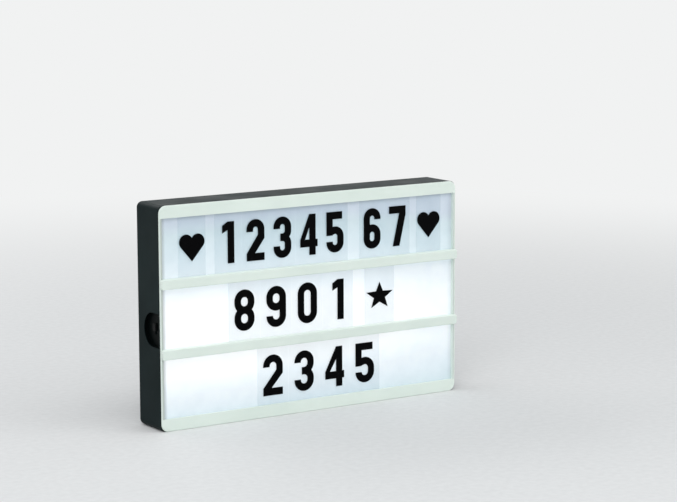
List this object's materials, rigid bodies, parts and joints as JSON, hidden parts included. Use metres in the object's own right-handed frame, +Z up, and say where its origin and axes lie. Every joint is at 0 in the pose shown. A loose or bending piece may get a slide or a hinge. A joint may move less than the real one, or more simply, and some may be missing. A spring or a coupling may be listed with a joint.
{
  "type": "cinema light box",
  "caption": "Upright lit display box: black case, white front frame with two rails, opal panel, sliding tiles in grooved rows, side switch and a hinged battery door.",
  "frame": {"origin": "on the base, under the middle of the box's bounding box", "axes": "+X to the right seen from the front, -Y out of the lit front, +Z up"},
  "size_m": [0.3, 0.043, 0.19],
  "materials": {
    "black_abs": "satin",
    "black_cap": "matte",
    "white_abs": "satin",
    "opal_panel": "satin",
    "white_sheet": "matte",
    "white_board": "satin",
    "led_chip": "gloss",
    "plated_steel": "satin",
    "switch_can": "satin",
    "tinned_brass": "satin",
    "red_lead": "satin",
    "black_lead": "satin",
    "cell_jacket": "gloss",
    "clear_tile": "satin",
    "black_print": "matte"
  },
  "bodies": {
    "box": {"rear_case": "black_abs", "front_frame": "white_abs", "upper_rail": "white_abs", "lower_rail": "white_abs", "diffuser_panel": "opal_panel", "reflector_sheet": "white_sheet", "upper_led_board": "white_board", "lower_led_board": "white_board", "upper_led_chips": "led_chip", "lower_led_chips": "led_chip", "upper_contacts": "plated_steel", "lower_contacts": "plated_steel", "battery_springs": "plated_steel", "switch_housing": "switch_can", "switch_terminals": "tinned_brass", "switch_screws": "plated_steel", "supply_socket": "black_cap", "socket_contacts": "tinned_brass", "case_screws": "plated_steel", "board_screws": "plated_steel", "battery_lead": "red_lead", "switch_lead": "red_lead", "board_lead": "black_lead", "return_lead": "black_lead", "socket_lead": "black_lead", "aa_cell_1": "cell_jacket", "aa_cell_2": "cell_jacket", "aa_cell_3": "cell_jacket", "aa_cell_4": "cell_jacket", "aa_cell_5": "cell_jacket", "aa_cell_6": "cell_jacket"},
    "switch_slider": {"switch_slider": "black_cap"},
    "battery_door": {"battery_door": "black_abs"},
    "top_left_heart_tile_body": {"top_left_heart_tile": "clear_tile", "top_left_heart_print": "black_print"},
    "top_five_tiles": {"top_five_tile_1": "clear_tile", "top_five_tile_2": "clear_tile", "top_five_tile_3": "clear_tile", "top_five_tile_4": "clear_tile", "top_five_tile_5": "clear_tile", "top_five_print": "black_print"},
    "top_two_tiles": {"top_two_tile_1": "clear_tile", "top_two_tile_2": "clear_tile", "top_two_print": "black_print"},
    "top_right_heart_tile_body": {"top_right_heart_tile": "clear_tile", "top_right_heart_print": "black_print"},
    "middle_four_tiles": {"middle_four_tile_1": "clear_tile", "middle_four_tile_2": "clear_tile", "middle_four_tile_3": "clear_tile", "middle_four_tile_4": "clear_tile", "middle_four_print": "black_print"},
    "middle_star_tile_body": {"middle_star_tile": "clear_tile", "middle_star_print": "black_print"},
    "bottom_four_tiles": {"bottom_four_tile_1": "clear_tile", "bottom_four_tile_2": "clear_tile", "bottom_four_tile_3": "clear_tile", "bottom_four_tile_4": "clear_tile", "bottom_four_print": "black_print"}
  },
  "joints": [
    {"name": "switch_slide", "type": "slide", "parent": "box", "child": "switch_slider", "axis": [0, 0, -1], "range_m": [0, 0.004]},
    {"name": "battery_door_hinge", "type": "hinge", "parent": "box", "child": "battery_door", "pos_m": [0, 0.0201, 0.0158], "axis": [-1, 0, 0], "range_deg": [0, 80]},
    {"name": "top_left_heart_slide", "type": "slide", "parent": "box", "child": "top_left_heart_tile_body", "axis": [1, 0, 0], "range_m": [-0.016, 0.0042]},
    {"name": "top_five_slide", "type": "slide", "parent": "box", "child": "top_five_tiles", "axis": [1, 0, 0], "range_m": [-0.0042, 0.006]},
    {"name": "top_two_slide", "type": "slide", "parent": "box", "child": "top_two_tiles", "axis": [1, 0, 0], "range_m": [-0.006, 0.0034]},
    {"name": "top_right_heart_slide", "type": "slide", "parent": "box", "child": "top_right_heart_tile_body", "axis": [1, 0, 0], "range_m": [-0.0034, 0.0119]},
    {"name": "middle_four_slide", "type": "slide", "parent": "box", "child": "middle_four_tiles", "axis": [1, 0, 0], "range_m": [-0.0635, 0.006]},
    {"name": "middle_star_slide", "type": "slide", "parent": "box", "child": "middle_star_tile_body", "axis": [1, 0, 0], "range_m": [-0.006, 0.0615]},
    {"name": "bottom_four_slide", "type": "slide", "parent": "box", "child": "bottom_four_tiles", "axis": [1, 0, 0], "range_m": [-0.091, 0.077]}
  ]
}
